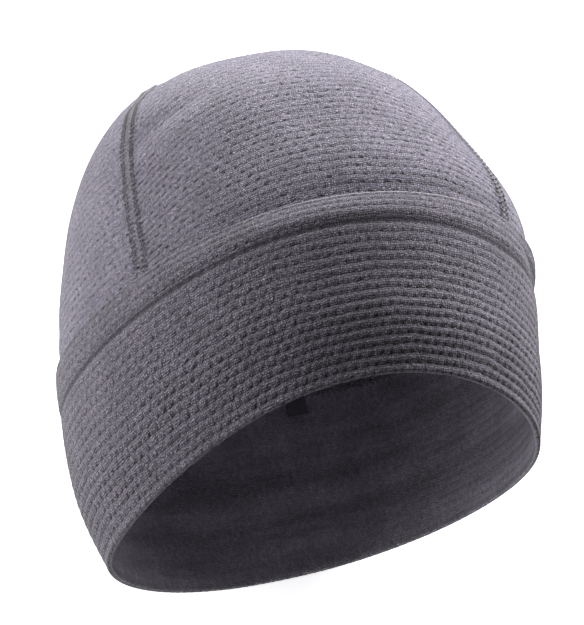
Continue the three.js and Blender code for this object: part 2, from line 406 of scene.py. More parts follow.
def band_mesh(sizes):
    """The band's section taken round the cap, with the knit's relief."""
    along, depth, flat, strength = band_section(sizes)
    cells = round(sizes.band_round / sizes.band_cell)
    columns = cells * 5
    around = np.linspace(0, 2 * math.pi, columns + 1)
    round_flat = np.linspace(0, cells * sizes.band_cell, columns + 1)
    loop = np.append(np.arange(len(along)), 0)
    points = cloth(along[loop][:, None], around[None, :], depth[loop][:, None])
    up = flat[loop]
    up[-1] = flat[-1] + 0.5
    across_grid, up_grid = np.meshgrid(round_flat, up)
    across_grid, moved_up = wander(across_grid, up_grid, cells * sizes.band_cell, 3)
    steady = np.clip(up_grid / 8, 0, 1) * np.clip((BAND_TOP - 4 - up_grid) / 10, 0, 1)
    up_grid += (moved_up - up_grid) * steady * np.clip(np.abs(up_grid - GROOVE_UP) / 6, 0.2, 1)
    lift = knit_lift(
        across_grid, up_grid, sizes.band_cell, sizes.band_course, sizes.band_lean,
        sizes.band_rib_depth, sizes.band_slit_depth,
    ) * strength[loop][:, None]
    lift[-1] = lift[0]
    lift[:, -1] = lift[:, 0]
    return cloth_mesh("band_cloth", points, np.stack([across_grid, up_grid], -1), lift)


# The crown

def crown_form():
    """The plain crown as a closed tree of faces, to lay the panels on."""
    alongs = np.linspace(BAND_TOP - SLOT_DEPTH + 2 * GAP, TOP - 0.5, 100)
    arounds = np.linspace(0, 2 * math.pi, 480, endpoint=False)
    points = cloth(alongs[:, None], arounds[None, :], crown_depth(alongs)[:, None])
    rows, count = points.shape[:2]
    vertices = points.reshape(-1, 3).tolist() + [cloth(TOP, 0.0, 0.0).tolist()]
    faces = [
        (r * count + i, r * count + (i + 1) % count, (r + 1) * count + (i + 1) % count, (r + 1) * count + i)
        for r in range(rows - 1)
        for i in range(count)
    ]
    last = (rows - 1) * count
    faces += [(last + i, last + (i + 1) % count, rows * count) for i in range(count)]
    return BVHTree.FromPolygons(vertices, faces), points[0]


def seam_distance(points, side):
    """How far points lie past one seam line, seen from the front."""
    y = points[:, 1]
    return side * (points[:, 0] - lean_at(y)) - seam_at(y) + GAP / 2


def first_crossing(lengths, past):
    """The length at which a line first passes a seam."""
    hits = np.nonzero(past > 0)[0]
    if len(hits) == 0:
        return lengths[-1]
    i = max(hits[0], 1)
    share = past[i - 1] / (past[i - 1] - past[i])
    return lengths[i - 1] + share * (lengths[i] - lengths[i - 1])


def laid_rows(lines, step, half_columns):
    """Lays rows of cloth on lines that run out both ways from a middle, cut where each line ends.

    lines holds, for each row, the two halves as (points from the middle outwards, usable length).
    """
    offsets = np.arange(0, half_columns + 1) * step
    rows = []
    spans = []
    for left, right in lines:
        halves = []
        for points, usable in (left, right):
            at = np.where(offsets > usable - 0.4 * step, usable, offsets)
            halves.append((along_line(points, run_length(points), at), at))
        rows.append(np.concatenate([halves[0][0][:0:-1], halves[1][0]]))
        spans.append(np.concatenate([-halves[0][1][:0:-1], halves[1][1]]))
    return np.array(rows), np.array(spans)


def center_lines(tree, edge, sizes):
    """Rows of the centre panel, from the band's front over the top to its back."""
    axis_y = 45.0
    x_middle = 0.5
    xs = np.arange(-78, 78.5, 1.0)
    shares = np.linspace(1e-4, 1 - 1e-4, 200)
    by_x = edge[np.argsort(edge[:, 0])]

    def start_angle(ring):
        y = np.interp(xs, ring[:, 0], ring[:, 1])
        z = np.interp(xs, ring[:, 0], ring[:, 2])
        return np.arctan2(y - axis_y, z)

    low = start_angle(by_x[by_x[:, 2] > 0])
    high = start_angle(by_x[by_x[:, 2] <= 0])
    turns = low + (high - low) * shares[:, None]
    reach = np.empty(turns.shape)
    for i, j in np.ndindex(*turns.shape):
        run = Vector((0, math.sin(turns[i, j]), math.cos(turns[i, j])))
        reach[i, j] = tree.ray_cast(Vector((xs[j], axis_y, 0)), run)[3] or 0

    def laid(share):
        radius = np.array([np.interp(share, shares, reach[:, j]) for j in range(len(xs))])
        turn = low + (high - low) * share
        points = np.stack([xs, axis_y + radius * np.sin(turn), radius * np.cos(turn)], -1)
        return points[radius > 0]

    middle = np.array([along_line(laid(t), laid(t)[:, 0], x_middle) for t in shares])
    lengths = run_length(middle)
    count = round(lengths[-1] / (sizes.crown_course / 4))
    ups = np.linspace(0, lengths[-1], count + 1)
    lines = []
    for t in np.interp(ups, lengths, shares):
        points = laid(t)
        start = along_line(points, points[:, 0], x_middle)[None, :]
        halves = []
        for side in (-1, 1):
            half = points[side * (points[:, 0] - x_middle) > 0][::side]
            half = np.concatenate([start, half])
            halves.append((half, first_crossing(run_length(half), seam_distance(half, side))))
        lines.append(halves)
    return lines, ups


def side_lines(side, sizes):
    """Rows of a side panel, from the band up to where the seam closes over it."""
    low = BAND_TOP - SLOT_DEPTH + 2 * GAP
    alongs = np.linspace(low, TOP, 2000)
    room = level["half"](alongs) - level["seam"](alongs) - GAP / 2
    end = alongs[np.nonzero(room > 0)[0][-1]]
    middle = cloth(np.linspace(low, end, 400), side * math.pi / 2, crown_depth(np.linspace(low, end, 400)))
    lengths = run_length(middle)
    count = round(lengths[-1] / (sizes.crown_course / 4))
    rows = np.interp(np.linspace(0, lengths[-1], count + 1), lengths, np.linspace(low, end, 400))
    lines = []
    for along in rows:
        halves = []
        for turn in (-1, 1):
            around = side * math.pi / 2 + turn * side * np.linspace(0, math.pi / 2, 260)
            points = cloth(along, around, crown_depth(along))
            y = points[:, 1]
            past = seam_at(y) + GAP / 2 - side * (points[:, 0] - lean_at(y))
            halves.append((points, first_crossing(run_length(points), past)))
        lines.append(halves)
    return lines, np.linspace(0, lengths[-1], count + 1)


def panel_mesh(name, lines, ups, sizes):
    """One crown panel on its rows, with its two seam lines and its cut: width, length and area."""
    step = sizes.crown_cell / 4.5
    widest = max(max(left[1], right[1]) for left, right in lines)
    points, spans = laid_rows(lines, step, math.ceil(widest / step) + 1)
    up_grid = np.repeat(ups[:, None], points.shape[1], axis=1)
    tucked = SLOT_DEPTH - 2 * GAP
    near_band = np.clip((up_grid - tucked) / 3, 0, 1)
    if name == "crown_center_cloth":
        near_band = near_band * np.clip((ups[-1] - tucked - up_grid) / 3, 0, 1)
    to_left = spans - spans[:, :1]
    to_right = spans[:, -1:] - spans
    to_seam = np.minimum(to_left, to_right)
    ridge = sizes.seam_ridge * np.exp(-((to_seam / SEAM_REACH) ** 2)) * near_band
    widths = spans[:, -1] - spans[:, 0]
    spans, up_grid = wander(spans, up_grid, CROWN_PERIOD, 11)
    lift = knit_lift(
        spans, up_grid, sizes.crown_cell, sizes.crown_course, sizes.crown_lean,
        sizes.crown_rib_depth, sizes.crown_slit_depth,
    ) * near_band
    mesh = cloth_mesh(name, points, np.stack([spans, up_grid], -1), lift + ridge)
    cut = (widths.max() * MM, ups[-1] * MM, widths.mean() * ups[-1] * MM * MM)
    return mesh, points[:, 0], points[:, -1], cut


def thicken(piece, thickness):
    """Gives a cloth its second face, under the first."""
    wall = piece.modifiers.new("Cloth thickness", "SOLIDIFY")
    wall.thickness = thickness * MM
    wall.offset = -1
    wall.use_even_offset = False
    return wall


# Threads

def stitched_line(points, tree, pitch, start, end):
    """Even places along a line on the cloth: place, direction and outward normal."""
    lengths = run_length(points)
    at = np.arange(start, lengths[-1] - end, pitch)
    places = along_line(points, lengths, at)
    ahead = along_line(points, lengths, at + 0.5 * pitch)
    behind = along_line(points, lengths, at - 0.5 * pitch)
    found = []
    for place, run in zip(places, ahead - behind):
        normal = tree.find_nearest(Vector(place))[1]
        if normal.dot(Vector(place) - Vector((0, 60, 0))) < 0:
            normal = -normal
        found.append((Vector(place), Vector(run).normalized(), normal.normalized()))
    return found


def threads_mesh(name, grains):
    """Joins short threads, given in the cap's millimetres, into one mesh in the shared frame.

    Each thread is (place, run, normal, length, width, height, how pale it is).
    """
    bm = bmesh.new()
    bmesh.ops.create_uvsphere(bm, u_segments=6, v_segments=5, radius=0.5)
    ball = np.array([vert.co for vert in bm.verts])
    ball_faces = [[vert.index for vert in face.verts] for face in bm.faces]
    bm.free()
    points = []
    faces = []
    for i, (place, run, normal, length, width, height, _) in enumerate(grains):
        across = normal.cross(run).normalized()
        points.append((ball * (length, width, height)) @ np.array([run, across, normal]) + place)
        faces += [[i * len(ball) + corner for corner in face] for face in ball_faces]
    mesh = bpy.data.meshes.new(name)
    mesh.from_pydata(to_frame(np.concatenate(points)), [], faces)
    pale = mesh.attributes.new("pale", "FLOAT", "POINT")
    pale.data.foreach_set("value", np.repeat([one[-1] for one in grains], len(ball)).astype(np.float32))
    mesh.polygons.foreach_set("use_smooth", np.ones(len(faces), bool))
    mesh.update()
    return mesh


def flatlock_grains(line, sizes, painted_light_from):
    """Two rows of small rings with finer, paler threads that slant between them, and flat threads inside.

    The rings are dark above the band, their thread darkened further as painted shade among the loops, and
    from the given height on they are painted paler, as painted light where the lamps catch the seam.
    """
    draw = np.random.default_rng(round(painted_light_from))
    half = sizes.seam_width / 2
    ring_wide = 1.1
    ring_long = 0.6
    ring_grain = (1.4, 0.27, 0.3)
    slanted_grain = (0.6 * half, 0.3, 0.26)
    flat_grain = (2.4 * half, 2.4, 0.3)
    flat_pale = 0.35
    lowest = min(place.y for place, _, _ in line)
    grains = []
    for place, run, normal in line:
        across = normal.cross(run).normalized()
        on_top = normal * (sizes.seam_ridge + 0.05)
        # Painted light: from the given height up the rings are painted paler, where the lamps catch the seam
        painted_light = flat_pale * min(max((place.y - lowest - painted_light_from) / 20, 0), 1)
        for side in (-1, 1):
            shift_run, shift_across, grow = draw.uniform(-1, 1, 3)
            off_line = side * (half - 0.95) + 0.15 * shift_across
            row = place + across * off_line + run * 0.12 * shift_run + on_top
            wide = across * ring_wide * (1 + 0.15 * grow)
            long = run * ring_long
            for first in (-1, 1):
                for second in (-1, 1):
                    at = row + wide * 0.5 * first + long * 0.5 * second
                    way = wide * first - long * second
                    grains.append((at, way.normalized(), normal, *ring_grain, painted_light))
        for turn in (-1, 1):
            at = place + run * 0.3 * turn * sizes.seam_pitch + on_top * 0.9
            way = (across + run * (0.7 * turn + 0.2 * draw.uniform(-1, 1))).normalized()
            grains.append((at, way, normal, *slanted_grain, flat_pale))
        at = place - normal * (KNIT + 0.2)
        grains.append((at, (across + run * 0.15).normalized(), normal, *flat_grain, flat_pale))
    return grains


def inner_seam_grains(sizes):
    """Slanting stitches over the edge where the band's lining meets the crown."""
    pitch = sizes.inner_pitch / (sizes.band_round / (2 * math.pi))
    arounds = np.arange(0, 2 * math.pi, pitch)
    along = INNER_TOP - 0.6
    stitch = (1.9, 0.6, 0.5)
    places = cloth(along, arounds, lining_depth(along) + 0.15)
    normals = -outward(np.full_like(arounds, along), arounds)
    ahead = cloth(along, arounds + TURN_STEP, lining_depth(along))
    behind = cloth(along, arounds - TURN_STEP, lining_depth(along))
    up = Vector((0, 1, 0))
    grains = []
    for i, (place, normal, run) in enumerate(zip(places, normals, ahead - behind)):
        run = Vector(run).normalized()
        normal = Vector(normal).normalized()
        slant = (up + run * (0.6 if i % 2 else -0.6)).normalized()
        grains.append((Vector(place), slant, normal, *stitch, 1.0))
    return grains


# Materials

SMOOTH = {"interpolation_type": "SMOOTHSTEP"}
FLAT_NOISE = {"noise_dimensions": "2D"}
COLOUR_MIX = {"data_type": "RGBA"}


def add_node(tree, kind, settings=None, inputs=(), output=0):
    """Adds a node with its settings and inputs, and returns one of its outputs, or all for None.

    A lone word is the node's operation. An input is a value, or the socket it is linked from. A Map
    Range takes the value, the two ends of its range, and what they become.
    """
    node = tree.nodes.new("ShaderNode" + kind)
    if isinstance(settings, str):
        settings = {"operation": settings}
    for name, value in (settings or {}).items():
        setattr(node, name, value)
    for socket, value in inputs.items() if isinstance(inputs, dict) else enumerate(inputs):
        target = node.inputs[socket]
        if isinstance(value, bpy.types.NodeSocket):
            tree.links.new(value, target)
        else:
            target.default_value = value
    return node.outputs if output is None else node.outputs[output]


def new_material(name):
    """An empty node material and its tree."""
    old = bpy.data.materials.get(name)
    if old is not None:
        bpy.data.materials.remove(old)
    material = bpy.data.materials.new(name)
    material.use_nodes = True
    material.node_tree.nodes.clear()
    return material, material.node_tree


def knit_cells_group():
    """Node group: the staggered cells of the mesh knit, as masks for holes, slits and ribs."""
    old = bpy.data.node_groups.get("Knit cells")
    if old is not None:
        return old
    group = bpy.data.node_groups.new("Knit cells", "ShaderNodeTree")
    for name in ("Place", "Hole size"):
        group.interface.new_socket(name, in_out="INPUT", socket_type="NodeSocketVector")
    for name in ("Cell", "Course", "Lean", "Slant"):
        group.interface.new_socket(name, in_out="INPUT", socket_type="NodeSocketFloat")
    for name in ("Hole", "Slit", "Rib", "Chance"):
        group.interface.new_socket(name, in_out="OUTPUT", socket_type="NodeSocketFloat")
    given = group.nodes.new("NodeGroupInput").outputs
    across, up, _ = add_node(group, "SeparateXYZ", None, (given["Place"],), None)
    v = add_node(group, "Math", "DIVIDE", (up, given["Course"]))
    u = add_node(group, "Math", "DIVIDE", (across, given["Cell"]))
    found = []
    # First the valley that is nearest, then the rib above the last valley
    for operation in ("ROUND", "FLOOR"):
        row = add_node(group, "Math", operation, (v,))
        odd = add_node(group, "Math", "FLOORED_MODULO", (row, 2.0))
        own_u = add_node(group, "Math", "MULTIPLY_ADD", (odd, -0.5, u))
        column = add_node(group, "Math", "ROUND", (own_u,))
        off_u = add_node(group, "Math", "SUBTRACT", (own_u, column))
        off_v = add_node(group, "Math", "SUBTRACT", (v, row))
        x = add_node(group, "Math", "MULTIPLY", (off_u, given["Cell"]))
        y = add_node(group, "Math", "MULTIPLY", (off_v, given["Course"]))
        found.append((x, y, row, column))
    x, y, row, column = found[0]
    from_hole = add_node(group, "CombineXYZ", None, (x, y, 0.0))
    back = add_node(group, "Math", "MULTIPLY", (given["Slant"], -1.0))
    turned = add_node(group, "VectorRotate", {"rotation_type": "Z_AXIS"}, {
        "Vector": from_hole, "Angle": back,
    })
    share = add_node(group, "VectorMath", "DIVIDE", (turned, given["Hole size"]))
    square = add_node(group, "VectorMath", "DOT_PRODUCT", (share, share), "Value")
    fall = add_node(group, "Math", "MULTIPLY", (square, -1.0))
    hole = add_node(group, "Math", "EXPONENT", (fall,))
    cell_name = add_node(group, "CombineXYZ", None, (column, row, 0.0))
    chance = add_node(group, "TexWhiteNoise", FLAT_NOISE, {"Vector": cell_name})
    x, y, row, column = found[1]
    slit_width = 0.32
    drift = add_node(group, "Math", "MULTIPLY", (y, given["Lean"]))
    off_slit = add_node(group, "Math", "SUBTRACT", (x, drift))
    slit_share = add_node(group, "Math", "DIVIDE", (off_slit, slit_width))
    slit_square = add_node(group, "Math", "MULTIPLY", (slit_share, slit_share))
    slit_fall = add_node(group, "Math", "MULTIPLY", (slit_square, -1.0))
    slit_line = add_node(group, "Math", "EXPONENT", (slit_fall,))
    low_part = add_node(group, "MapRange", SMOOTH, (y, 0.9, 2.6, 1.0, 0.1))
    slit = add_node(group, "Math", "MULTIPLY", (slit_line, low_part))
    half_turns = add_node(group, "Math", "MULTIPLY", (v, math.pi))
    wave = add_node(group, "Math", "SINE", (half_turns,))
    rib = add_node(group, "Math", "ABSOLUTE", (wave,))
    for mask, target in zip((hole, slit, rib, chance), group.nodes.new("NodeGroupOutput").inputs):
        group.links.new(mask, target)
    return group


def cloth_colours(colours, face):
    """The colours of one cloth, with the named face colour."""
    # The lining and pale colours carry painted light, and the shade colour painted shade
    named = {"face": face, "lining": "lining", "shade": "shade", "pale": "pale"}
    return {part: (*getattr(colours, name), 1.0) for part, name in named.items()}


def knit_pattern(tree, sizes, looks):
    """The sockets that the knit's looks are made from, by name: its places, masks and fine patterns."""
    place = add_node(tree, "UVMap", {"uv_map": FLAT_MAP})
    up = add_node(tree, "SeparateXYZ", None, (place,), 1)
    body_place = add_node(tree, "TexCoord", output="Object")
    # Each opening is a little different, so their edges are moved by some tenths of a millimetre
    uneven_edge = add_node(tree, "TexNoise", FLAT_NOISE, {
        "Vector": place, "Scale": 0.45, "Detail": 2.0, "Roughness": 0.6,
    }, "Color")
    centred = add_node(tree, "VectorMath", "SUBTRACT", (uneven_edge, (0.5, 0.5, 0.5)))
    moved = add_node(tree, "VectorMath", "MULTIPLY_ADD", (centred, (2.2, 1.3, 0.0), place))
    cells = add_node(tree, "Group", {"node_tree": knit_cells_group()}, {
        "Place": moved, "Cell": sizes["cell"], "Course": sizes["course"], "Lean": sizes["lean"],
        "Slant": sizes["slant"], "Hole size": sizes["hole_size"],
    }, None)
    uneven = add_node(tree, "MapRange", None, (cells["Chance"], 0.0, 1.0, 0.45, 1.2))
    # Inside the cap the lining shows the knit's plainer back, and higher up the knit is drawn flatter
    outside = add_node(tree, "MapRange", None, (up, -2.5, 0.5))
    plain_top = looks["plain_from"] + looks["plain_over"]
    drawn = add_node(tree, "MapRange", None, (up, looks["plain_from"], plain_top, 1.0, looks["plain_part"]))
    # Fine wales run up the cloth, and four rows of loops to a course run across it
    bands = []
    for axis, in_a_mm, distortion in (
        ("X", sizes["wales"] / sizes["cell"], 2.0), ("Y", 4 / sizes["course"], 2.5),
    ):
        bands.append(add_node(tree, "TexWave", {"bands_direction": axis}, {
            "Vector": moved, "Scale": in_a_mm * math.pi / 10, "Distortion": distortion, "Detail": 2.0,
            "Detail Scale": 1.5, "Detail Roughness": 0.6,
        }, "Fac"))
    # Wool fibres: real ones are finer than a tenth of a millimetre, drawn as coarse as they need to
    # show, and longer along the yarn than across it
    along_yarn = add_node(tree, "VectorMath", "MULTIPLY", (place, (0.75, 1.5, 1.0)))
    return {
        "place": place,
        "up": up,
        "body_place": body_place,
        "body_axes": add_node(tree, "SeparateXYZ", None, (body_place,), None),
        "uneven_edge": uneven_edge,
        "outside": outside,
        "open_part": add_node(tree, "Math", "MULTIPLY", (outside, drawn)),
        "rib": cells["Rib"],
        "slit": cells["Slit"],
        "uneven_slit": add_node(tree, "Math", "MULTIPLY", (cells["Slit"], uneven)),
        "hole": add_node(tree, "Math", "MULTIPLY", (cells["Hole"], uneven)),
        "stitch": add_node(tree, "Math", "MULTIPLY", bands),
        "fibre": add_node(tree, "TexNoise", FLAT_NOISE, {
            "Vector": along_yarn, "Scale": 1.0, "Detail": 4.0, "Roughness": 0.8,
        }),
    }


def knit_height(tree, knit, looks):
    """The fine relief of ribs, slits, holes, stitches and fibres, in millimetres."""
    rib_part = add_node(tree, "Math", "MULTIPLY", (knit["rib"], looks["rib_height"]))
    slit_part = add_node(tree, "Math", "MULTIPLY_ADD", (knit["slit"], -looks["slit_height"], rib_part))
    hole_part = add_node(tree, "Math", "MULTIPLY_ADD", (knit["hole"], -looks["hole_height"], slit_part))
    relief = add_node(tree, "MapRange", None, (knit["open_part"], 0.0, 1.0, 0.3))
    cell_part = add_node(tree, "Math", "MULTIPLY", (hole_part, relief))
    wale_part = add_node(tree, "Math", "MULTIPLY_ADD", (knit["stitch"], looks["stitch_height"], cell_part))
    tall = looks["fibre_height"]
    fibre_depth = add_node(tree, "MapRange", None, (knit["outside"], 0.0, 1.0, 0.3 * tall, tall))
    return add_node(tree, "Math", "MULTIPLY_ADD", (knit["fibre"], fibre_depth, wale_part))


def yarn_tone(tree, knit, looks):
    """How light the yarn is: melange fibres and stitches, broad unevenness, and the calmer lining."""
    # Melange yarn: lighter and darker fibres spun together
    tone = looks["fibre_tone"]
    melange = add_node(tree, "MapRange", None, (knit["fibre"], 0.4, 0.6, 1 - tone, 1 + tone))
    tone = looks["stitch_tone"]
    stitches = add_node(tree, "MapRange", None, (knit["stitch"], 0.0, 1.0, 1 - tone, 1 + 2 * tone))
    face = add_node(tree, "Math", "MULTIPLY", (melange, stitches))
    # The lining's yarn is more even, with long soft stretches of lighter and darker tone
    long_place = add_node(tree, "VectorMath", "MULTIPLY", (knit["place"], (0.012, 0.12, 1.0)))
    waves = add_node(tree, "TexNoise", FLAT_NOISE, {
        "Vector": long_place, "Scale": 1.0, "Detail": 2.0, "Roughness": 0.5,
    })
    long_tone = add_node(tree, "MapRange", None, (waves, 0.3, 0.7, 0.7, 1.3))
    soft = add_node(tree, "Mix", None, {"Factor": 0.35, 2: long_tone, 3: face})
    either = add_node(tree, "Mix", None, {"Factor": knit["outside"], 2: soft, 3: face})
    # Broad unevenness of the yarn, and shorter stretches that are pulled tighter
    patch = add_node(tree, "TexNoise", FLAT_NOISE, {
        "Vector": knit["place"], "Scale": 0.07, "Detail": 3.0, "Roughness": 0.6,
    })
    patches = add_node(tree, "MapRange", None, (patch, 0.3, 0.7, 0.88, 1.12))
    pulls = add_node(tree, "MapRange", None, (knit["uneven_edge"], 0.35, 0.65, 0.84, 1.16))
    broad = add_node(tree, "Math", "MULTIPLY", (patches, pulls))
    return add_node(tree, "Math", "MULTIPLY", (either, broad))


def side_colour(tree, knit, colours):
    """The face's colour outside, and the lining's on each face that looks towards the cap's middle: the back
    of the same yarn, made much paler as painted light for the dim inside of the cap.
    """
    faces = add_node(tree, "NewGeometry", output="True Normal")
    from_middle = add_node(tree, "VectorMath", "SUBTRACT", (knit["body_place"], (0.0, -0.02, 0.09)))
    looks_out = add_node(tree, "VectorMath", "DOT_PRODUCT", (faces, from_middle), "Value")
    is_outer = add_node(tree, "MapRange", None, (looks_out, -0.02, 0.0))
    outer = add_node(tree, "Math", "MINIMUM", (is_outer, knit["outside"]))
    return add_node(tree, "Mix", COLOUR_MIX, {"Factor": outer, 6: colours["lining"], 7: colours["face"]}, 2)


def opening_shade(tree, knit, looks):
    """How little light reaches the valleys between ribs, the slits and the holes."""
    width, shade = looks["valley_width"], looks["valley_shade"]
    valley = add_node(tree, "MapRange", SMOOTH, (knit["rib"], 0.0, width, shade, 0.0))
    valley_part = add_node(tree, "MapRange", None, (knit["uneven_edge"], 0.35, 0.65, 0.4, 1.0))
    in_valley = add_node(tree, "Math", "MULTIPLY", (valley, valley_part))
    in_hole = add_node(tree, "Math", "MULTIPLY", (knit["hole"], looks["hole_shade"]))
    in_slit = add_node(tree, "Math", "MULTIPLY", (knit["uneven_slit"], looks["slit_shade"]))
    darker = add_node(tree, "Math", "MAXIMUM", (in_slit, in_hole))
    darkest = add_node(tree, "Math", "MAXIMUM", (in_valley, darker))
    return add_node(tree, "Math", "MULTIPLY", (darkest, knit["open_part"]))


def fold_shade(tree, knit, looks):
    """How little light reaches the rim's fold and the crease under the roll."""
    across, _, forward = knit["body_axes"]
    from_turn = add_node(tree, "Math", "ADD", (knit["up"], 2.2))
    off_turn = add_node(tree, "Math", "ABSOLUTE", (from_turn,))
    at_turn = add_node(tree, "MapRange", SMOOTH, (off_turn, 0.4, 1.6, looks["turn_shade"], 0.0))
    at_front = add_node(tree, "MapRange", None, (forward, 0.02, 0.08))
    in_turn = add_node(tree, "Math", "MULTIPLY", (at_turn, at_front))
    # The crease is darkest towards the sides
    from_crease = add_node(tree, "Math", "SUBTRACT", (knit["up"], CREASE_UP))
    off_crease = add_node(tree, "Math", "ABSOLUTE", (from_crease,))
    at_crease = add_node(tree, "MapRange", SMOOTH, (off_crease, 0.2, 1.4, looks["crease_shade"], 0.0))
    right_part = add_node(tree, "MapRange", None, (across, -0.03, 0.02, 1.0, 0.4))
    left_part = add_node(tree, "MapRange", None, (across, 0.05, 0.07, 0.0, 0.6))
    side_part = add_node(tree, "Math", "ADD", (right_part, left_part))
    side_crease = add_node(tree, "Math", "MULTIPLY", (at_crease, side_part))
    crease_part = add_node(tree, "MapRange", None, (knit["uneven_edge"], 0.4, 0.6, 0.55, 1.0))
    in_crease = add_node(tree, "Math", "MULTIPLY", (side_crease, crease_part))
    return add_node(tree, "Math", "MAXIMUM", (in_crease, in_turn))


def painted_fold_highlight(tree, knit, looks):
    """Painted highlight along the band's top fold, where light catches its edge, most of all at the front's
    left half.
    """
    across = knit["body_axes"][0]
    from_fold = add_node(tree, "Math", "SUBTRACT", (knit["up"], BAND_TOP))
    off_fold = add_node(tree, "Math", "ABSOLUTE", (from_fold,))
    at_fold = add_node(tree, "MapRange", SMOOTH, (off_fold, 0.1, 0.55, looks["fold_highlight"], 0.0))
    right_end = add_node(tree, "MapRange", SMOOTH, (across, -0.05, 0.01, 0.15, 1.0))
    left_end = add_node(tree, "MapRange", SMOOTH, (across, 0.04, 0.062, 1.0, 0.0))
    between = add_node(tree, "Math", "MULTIPLY", (right_end, left_end))
    return add_node(tree, "Math", "MULTIPLY", (at_fold, between))


def knit_material(name, colours, sizes, looks):
    """Fine merino mesh knit: a soft, slightly hairy surface that is matt face on and pale at its edges."""
    material, tree = new_material(name)
    knit = knit_pattern(tree, sizes, looks)
    height = knit_height(tree, knit, looks)
    bump = add_node(tree, "Bump", None, {"Strength": 1.0, "Distance": MM, "Height": height})
    yarn = add_node(tree, "VectorMath", "SCALE", {
        0: side_colour(tree, knit, colours), "Scale": yarn_tone(tree, knit, looks),
    })
    in_openings = opening_shade(tree, knit, looks)
    in_folds = fold_shade(tree, knit, looks)
    dark = add_node(tree, "Math", "MAXIMUM", (in_openings, in_folds))
    shown = add_node(tree, "Mix", COLOUR_MIX, {"Factor": dark, 6: yarn, 7: colours["shade"]}, 2)
    # Painted highlight: the pale colour mixed in along the band's top fold
    highlit_fold = painted_fold_highlight(tree, knit, looks)
    highlit = add_node(tree, "Mix", COLOUR_MIX, {"Factor": highlit_fold, 6: shown, 7: colours["pale"]}, 2)
    surface = add_node(tree, "BsdfPrincipled", None, {
        "Base Color": highlit, "Roughness": 0.88, "Normal": bump, "Sheen Weight": 0.2,
        "Sheen Roughness": 0.4, "Sheen Tint": (0.92, 0.91, 0.94, 1.0), "Specular IOR Level": 0.2,
    })
    add_node(tree, "OutputMaterial", None, (surface,), None)
    return material


def thread_material(name, dark, pale):
    """Spun polyester thread: round, with a faint gloss, dark in the loops, partly as painted shade, and
    paler where it lies flat and where light is painted onto the rings.
    """
    material, tree = new_material(name)
    how_pale = add_node(tree, "Attribute", {"attribute_name": "pale"}, output="Fac")
    colour = add_node(tree, "Mix", COLOUR_MIX, {
        "Factor": how_pale, 6: (*dark, 1.0), 7: (*pale, 1.0),
    }, 2)
    place = add_node(tree, "TexCoord", output="Object")
    # The plies of a thread are about 0.4 mm apart
    strands = add_node(tree, "TexNoise", None, {"Vector": place, "Scale": 2500.0, "Detail": 2.0})
    tone = add_node(tree, "MapRange", None, (strands, 0.3, 0.7, 0.75, 1.25))
    yarn = add_node(tree, "VectorMath", "SCALE", {0: colour, "Scale": tone})
    bump = add_node(tree, "Bump", None, {"Strength": 0.6, "Distance": 0.1 * MM, "Height": strands})
    surface = add_node(tree, "BsdfPrincipled", None, {
        "Base Color": yarn, "Roughness": 0.6, "Normal": bump, "Sheen Weight": 0.15,
    })
    add_node(tree, "OutputMaterial", None, (surface,), None)
    return material


def tape_material(name, colour):
    """Woven satin tape: close threads across it, 0.4 mm apart, give a low, even gloss."""
    material, tree = new_material(name)
    place = add_node(tree, "UVMap", {"uv_map": FLAT_MAP})
    weave = add_node(tree, "TexWave", {"bands_direction": "Y"}, {
        "Vector": place, "Scale": 0.8, "Distortion": 0.4, "Detail": 1.0,
    }, "Fac")
    tone = add_node(tree, "MapRange", None, (weave, 0.0, 1.0, 0.8, 1.3))
    yarn = add_node(tree, "VectorMath", "SCALE", {0: colour, "Scale": tone})
    bump = add_node(tree, "Bump", None, {"Strength": 0.5, "Distance": 0.1 * MM, "Height": weave})
    surface = add_node(tree, "BsdfPrincipled", None, {
        "Base Color": yarn, "Roughness": 0.5, "Normal": bump,
    })
    add_node(tree, "OutputMaterial", None, (surface,), None)
    return material


def floor_material(name, colour, glow):
    """Translucent white acrylic sheet, lit from below like a light table."""
    material, tree = new_material(name)
    place = add_node(tree, "TexCoord", output="Object")
    grain = add_node(tree, "TexNoise", None, {"Vector": place, "Scale": 60.0})
    roughness = add_node(tree, "MapRange", None, (grain, 0.0, 1.0, 0.75, 0.9))
    surface = add_node(tree, "BsdfPrincipled", None, {
        "Base Color": (*colour, 1.0), "Roughness": roughness,
        "Emission Color": (*colour, 1.0), "Emission Strength": glow,
    })
    add_node(tree, "OutputMaterial", None, (surface,), None)
    return material


# Settings

